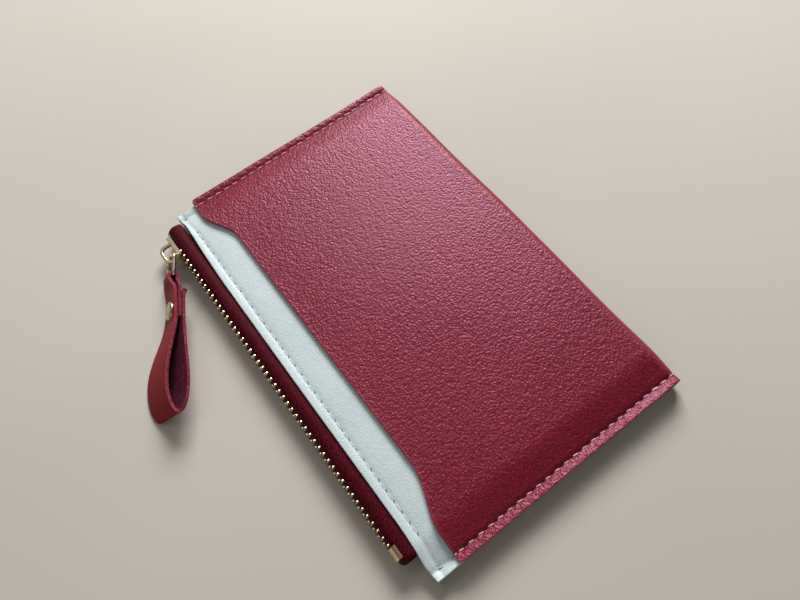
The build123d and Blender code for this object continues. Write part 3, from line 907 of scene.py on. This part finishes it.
def side_stitches(name, sign, on_cover):
    """One side seam: the stitches on the red cover, or the one that shows on the pale tab."""
    parts = []
    for i in range(-1, 25):
        y0 = SEAM_Y0 + i * SIDE_PITCH
        y1 = y0 + SIDE_PITCH
        if y0 < TAB_Y < y1:
            y0, y1 = (TAB_Y + 0.25, y1) if on_cover else (y0, TAB_Y + 0.3)
        elif (y0 > TAB_Y) != on_cover:
            continue
        x = sign * SEAM_X
        slip = float(side_slip(np.array(x), np.array((y0 + y1) / 2))) if on_cover else 0.0
        z = float(top_height(np.array(x), np.array(max((y0 + y1) / 2, -33.0)))) - 0.06
        radius = 0.20 + 0.03 * math.sin(3.1 * i)
        lean = 0.13
        if not on_cover:
            z, radius = z - COVER_T - 0.22, 0.15
        elif i == 22:
            radius = 0.33        # the one thick stitch near the fold
        a = [x + slip + lean, y1 - 0.45, z]
        b = [x + slip - lean, y0 + 0.45, z]
        parts.append(stitch(a, b, radius, 0.13, 0.28))
        zb = 0.22 if on_cover else 1.37
        parts.append(stitch([a[0], a[1], zb], [b[0], b[1], zb], 0.17, -0.06, -0.2))
    return put(name, *gather(parts))


def zip_stitches(name, front):
    """The seam that holds one tape to its pale panel."""
    parts = []
    for i in range(ZIP_STITCHES):
        x0 = ZIP_SEAM_X0 + i * ZIP_PITCH
        x1 = x0 + ZIP_PITCH
        y = ZIP_SEAM_Y
        if front:
            panel_z = float(top_height(np.array((x0 + x1) / 2), np.array(-33.0))) - COVER_T - SHEET_GAP
            z = panel_z - 0.34
            parts.append(stitch([x0 + 0.42, y + 0.05, z], [x1 - 0.42, y - 0.05, z], 0.17, 0.0, 0.30))
        else:
            z = PANEL_BACK_Z + 0.15
            parts.append(stitch([x0 + 0.4, y, z], [x1 - 0.4, y, z], 0.18, -0.1, -0.2))
    return put(name, *gather(parts))


# =====================================================================
# the pull strap
# =====================================================================

LEAN = math.radians(36.0)            # how far the strap's width leans from upright
HEADING = math.radians(-28.5)        # which way the strap runs from the slider
RUN = np.array([math.cos(HEADING), math.sin(HEADING), 0.0])
SIDE = np.array([-math.sin(HEADING), math.cos(HEADING), 0.0])
UP = np.array([0.0, 0.0, 1.0])
RING_FAR = np.array([-53.95, -48.0, MID_Z]) + RUN * 7.4      # the ring's far end, where the strap turns


def strap_path():
    """The strip's centre line square to its width, from the tucked-back end to the free end."""
    inner_end = [
        (14.6, 1.02), (12.8, 1.0), (11.0, 0.99), (9.0, 0.95), (7.0, 0.92), (5.0, 0.94), (3.0, 1.03),
        (1.5, 1.1),
    ]
    turn = [(1.12 * math.cos(math.pi / 2 + math.pi * i / 8), 1.12 * math.sin(math.pi / 2 + math.pi * i / 8))
            for i in range(9)]
    outer_leg = [
        (1.5, -1.0), (3.0, -0.62), (5.0, -0.14), (7.0, 0.04), (9.0, 0.1), (11.0, 0.12), (13.0, 0.12),
        (15.0, 0.08), (18.0, -0.2), (21.0, -0.68), (24.0, -1.2), (27.0, -1.62), (30.0, -1.9),
        (33.0, -2.0), (36.0, -1.82), (38.5, -1.36), (40.4, -0.78), (41.8, -0.1),
    ]
    inner_leg = [
        (42.3, 0.5), (42.2, 1.1), (41.5, 1.65), (40.0, 2.15), (38.0, 2.52), (35.0, 2.72), (32.0, 2.72),
        (29.0, 2.58), (26.0, 2.38), (23.0, 2.18), (20.0, 2.02), (17.0, 1.92), (14.6, 1.88), (12.8, 1.87),
        (11.0, 1.87), (9.7, 1.86), (8.5, 1.88), (7.4, 2.0), (6.3, 2.3),
    ]
    return np.array(inner_end + turn + outer_leg + inner_leg)


def pull_strap():
    """The strap's strip, swept along its path, with frayed rims and a splayed free end."""
    line, run = resample(strap_path(), 0.22)
    tangent = np.gradient(line, axis=0)
    tangent /= np.linalg.norm(tangent, axis=1)[:, None]
    normal = np.stack([-tangent[:, 1], tangent[:, 0]], 1)
    near = np.array([0, 0.05, 0.12, 0.22, 0.36, 0.6])
    down = np.concatenate([near, np.linspace(1.0, STRAP_W - 1.0, 14), (STRAP_W - near)[::-1]]) / STRAP_W
    faces_out, faces_in, worn = [], [], []
    rng = np.random.default_rng(7)
    fray = rng.normal(0, 1, (len(line), 4))
    fray[1:-1] = (fray[:-2] + 2 * fray[1:-1] + fray[2:]) / 4
    for k, (a, y) in enumerate(line):
        far = float(smoothstep(np.array((a - 6.0) / 26.0)))
        lean = LEAN + math.radians(12.0) * far
        top_z = STRAP_TOP_Z + 0.1 * far
        neck = float(1 - smoothstep(np.array((a - 0.6) / 4.4)))
        tail = float(smoothstep(np.array((run[k] - run[-1] + 3.5) / 3.5)))
        thick = STRAP_T + 0.32 * tail
        rows_out, rows_in, rub = [], [], []
        for share in down:
            z = STRAP_LOW_Z + (top_z - STRAP_LOW_Z) * share
            s_wide = (z - MID_Z + y * math.sin(LEAN)) / math.cos(LEAN)
            s = s_wide + (STRAP_NECK_W * (share - 0.5) - s_wide) * neck
            centre = RING_FAR + RUN * a + (SIDE * math.cos(LEAN) - UP * math.sin(LEAN)) * y
            p = centre + (SIDE * math.sin(LEAN) + UP * math.cos(LEAN)) * s
            p = p + SIDE * (math.tan(lean) - math.tan(LEAN)) * (z - top_z) * (1 - neck)
            n3 = RUN * normal[k, 0] + (SIDE * math.cos(lean) - UP * math.sin(lean)) * normal[k, 1]
            edge = min(share, 1 - share) * STRAP_W
            half = thick / 2 - 0.8 * float(edge_round(np.array(edge), 0.12))
            loose = max(0.0, 1 - edge / 0.3) * (0.07 + 0.05 * tail)
            which = 0 if share > 0.5 else 2
            lift = (SIDE * math.sin(lean) + UP * math.cos(lean)) * (1 if share > 0.5 else -1)
            hair_out, hair_in = loose * fray[k, which], loose * fray[k, which + 1]
            rows_out.append(p - n3 * half + lift * hair_out)
            rows_in.append(p + n3 * (half + hair_in * 0.5) + lift * hair_in)
            rub.append(0.8 * math.exp(-edge / 0.12))
        faces_out.append(rows_out)
        faces_in.append(rows_in)
        worn.append(rub)
    out, inn = np.array(faces_out), np.array(faces_in)
    ob = sheet("pull_strap_leather", out, inn)
    crisp(ob, 60)
    zero = np.zeros(out.shape[0] * out.shape[1])
    attribute(ob, "worn", np.concatenate([np.array(worn).ravel(), zero]))
    return ob


# =====================================================================
# build
# =====================================================================

cover = dress(outer_cover(), (RED, RED_EDGE, RED_BACK))
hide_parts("outer_cover")
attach(cover, "pouch")

front_panel = dress(pale_panel("pouch_front_leather", True), (PALE, PALE_EDGE, PALE_BACK))
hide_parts("pouch_front_panel")
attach(front_panel, "pouch")

back_panel = dress(pale_panel("pouch_back_leather", False), (PALE, PALE_EDGE, PALE_BACK))
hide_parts("pouch_back_panel")
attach(back_panel, "pouch")

bag = dress(lining(), (LINING,))
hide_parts("pouch_lining")
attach(bag, "pouch")

# each row of tape and teeth is two pieces that meet at MEET_X; the rear pieces are attached to the pouch and
# the front ones are left unattached
MEET_X = -2.0
for front in (True, False):
    side = "front" if front else "rear"
    hem = dress(tape_piece(f"tape_{side}_hem", front, *HEM_X, "hem"), (TAPE,))
    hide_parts(f"zipper_tape_{side}")
    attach(hem, "pouch")
    halves = ((TAPE_X[0], MEET_X, "left"), (MEET_X, TAPE_X[1], "right"))
    for x0, x1, end in halves:
        roll = dress(tape_piece(f"tape_{side}_roll_{end}", front, x0, x1, "roll"), (TAPE,))
        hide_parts(f"zipper_tape_{side}")
        row = dress(teeth(f"teeth_{side}_{end}", front, x0, x1), (TOOTH_GOLD,))
        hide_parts(f"zipper_teeth_{side}")
        for piece in (roll, row):
            if not front:
                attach(piece, "pouch")
            elif end == "left":
                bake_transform(piece)
            else:
                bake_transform(piece)

for sign, end in ((-1, "left"), (1, "right")):
    seam = dress(side_stitches(f"side_stitches_{end}", sign, True), (PINK_THREAD,))
    tail = dress(side_stitches(f"side_stitches_{end}_tail", sign, False), (WHITE_THREAD,))
    for piece in (seam, tail):
        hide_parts(f"side_seam_thread_{end}")
        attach(piece, "pouch")
for front in (True, False):
    side = "front" if front else "rear"
    seam = dress(zip_stitches(f"zip_stitches_{side}", front), (WHITE_THREAD,))
    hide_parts(f"zip_seam_thread_{side}")
    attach(seam, "pouch")

strap = dress(pull_strap(), (STRAP_FACE, STRAP_EDGE, STRAP_SUEDE))
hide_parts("pull_strap")
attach(strap, "strap")


def repaint(node, mat):
    """A better material for a node that keeps its CAD mesh."""
    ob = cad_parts[node]
    ob.data.materials.clear()
    ob.data.materials.append(mat)


for mat, nodes in ((GOLD, ("slider_body", "slider_bridge")), (RING_GOLD, ("pull_ring",)),
                   (RIVET_GOLD, ("rivet_cap", "rivet_back")),
                   (TOOTH_GOLD, ("bottom_stop", "top_stop_front", "top_stop_rear"))):
    for node in nodes:
        repaint(node, mat)


# =====================================================================
# floor, light and camera
# =====================================================================

def floor():
    """Plain warm paper under the pouch, only for the renders."""
    n = Nodes("floor_paper")
    soft = n.noise(6.0, 2.0, 0.5)
    n.set("Base Color", n.ramp(soft, [(0.3, (0.50, 0.455, 0.40)), (0.7, (0.54, 0.49, 0.43))]))
    n.set("Roughness", 0.9)
    n.set("Specular IOR Level", 0.05)
    corners = [(x * 1500, y * 1500, 0) for x, y in ((-1, -1), (1, -1), (1, 1), (-1, 1))]
    ob = put("floor", corners, [[0, 1, 2, 3]])
    ob.location.z = -0.05 * MM
    ob.data.materials.append(n.mat)


def light(name, place, size, power, colour, aim=(0, 0, 0)):
    data = bpy.data.lights.new(name, "AREA")
    data.shape = "RECTANGLE"
    data.size, data.size_y = size
    data.energy = power
    data.color = colour
    ob = bpy.data.objects.new(name, data)
    bpy.context.scene.collection.objects.link(ob)
    ob.location = place
    ob.rotation_euler = (Vector(aim) - Vector(place)).to_track_quat("-Z", "Y").to_euler()


floor()
light("window", (-0.48, 0.405, 0.43), (0.42, 0.32), 9.6, (0.96, 0.985, 1.0))
light("fill", (0.95, -0.75, 0.55), (0.9, 0.9), 2.4, (1.0, 0.97, 0.93))
# a narrow strip over the zip, for the glints on the teeth
light("strip", (-0.18, -0.095, 0.42), (0.42, 0.07), 0.22, (1.0, 0.97, 0.92), (0, -0.045, 0))

world = bpy.data.worlds.new("studio")
bpy.context.scene.world = world
world.use_nodes = True
background = world.node_tree.nodes["Background"]
background.inputs["Color"].default_value = (0.95, 0.97, 1.0, 1.0)
background.inputs["Strength"].default_value = 0.13

camera = bpy.data.cameras.new("camera")
camera.lens = 29.97
camera.sensor_width = 36.0
camera.clip_start = 0.005
view = bpy.data.objects.new("camera", camera)
bpy.context.scene.collection.objects.link(view)
view.location = (0.0720, -0.0423, 0.1734)
view.rotation_euler = [math.radians(a) for a in (25.308, 3.898, 52.957)]
bpy.context.scene.camera = view
bpy.context.scene.view_settings.view_transform = "Standard"
